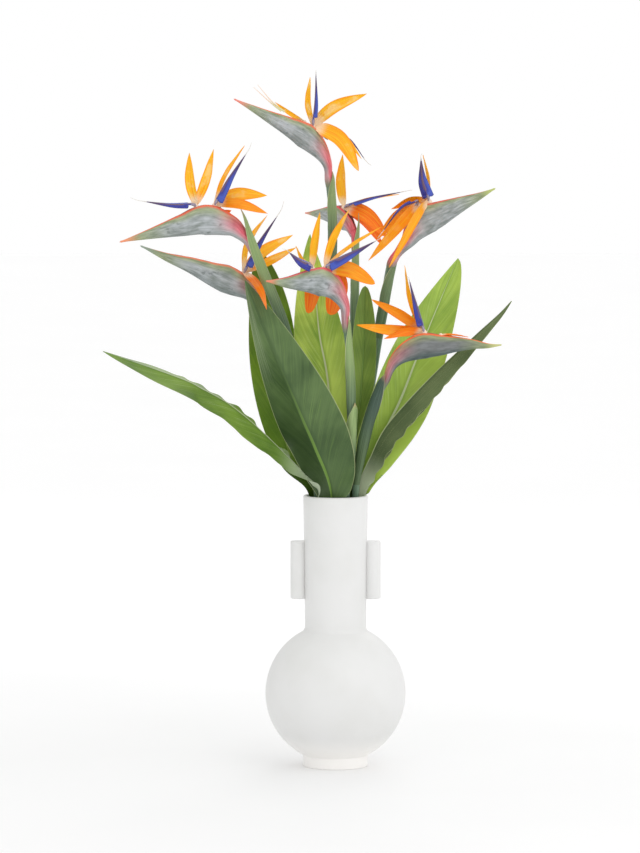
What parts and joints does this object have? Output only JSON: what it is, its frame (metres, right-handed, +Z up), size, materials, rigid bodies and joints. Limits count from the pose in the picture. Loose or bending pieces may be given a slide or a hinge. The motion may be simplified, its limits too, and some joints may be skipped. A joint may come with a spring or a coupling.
{
  "type": "bird of paradise flowers in a vase",
  "caption": "Cut bird of paradise flowers and their long leaves standing in water in a white round-bellied ceramic vase with a tall neck and side lugs.",
  "frame": {"origin": "middle of the flat underside of the vase's foot, on the surface that it stands on", "axes": "+Z up along the vase's axis; -Y is the front; +X is to the right as seen from the front"},
  "size_m": [0.4922, 0.3371, 0.8482],
  "materials": {
    "white_ceramic": "satin",
    "water": "gloss",
    "stalk_green": "satin",
    "sepal_orange": "satin",
    "arrow_blue": "satin",
    "leaf_green": "satin"
  },
  "bodies": {
    "root": {"head_1_arrow_1": "arrow_blue", "head_1_arrow_2": "arrow_blue", "head_1_sepals": "sepal_orange", "head_1_stalk": "stalk_green", "head_2_arrow_1": "arrow_blue", "head_2_arrow_2": "arrow_blue", "head_2_sepals": "sepal_orange", "head_2_stalk": "stalk_green", "head_3_arrow_1": "arrow_blue", "head_3_sepals": "sepal_orange", "head_3_stalk": "stalk_green", "head_4_arrow_1": "arrow_blue", "head_4_arrow_2": "arrow_blue", "head_4_sepals": "sepal_orange", "head_4_stalk": "stalk_green", "head_5_arrow_1": "arrow_blue", "head_5_sepals": "sepal_orange", "head_5_stalk": "stalk_green", "head_6_arrow_1": "arrow_blue", "head_6_arrow_2": "arrow_blue", "head_6_sepals": "sepal_orange", "head_6_stalk": "stalk_green", "head_7_arrow_1": "arrow_blue", "head_7_sepals": "sepal_orange", "head_7_stalk": "stalk_green", "leaf_1": "leaf_green", "leaf_2": "leaf_green", "leaf_3": "leaf_green", "leaf_4": "leaf_green", "leaf_5": "leaf_green", "leaf_6": "leaf_green", "leaf_7": "leaf_green", "vase": "white_ceramic", "water": "water"}
  },
  "joints": []
}
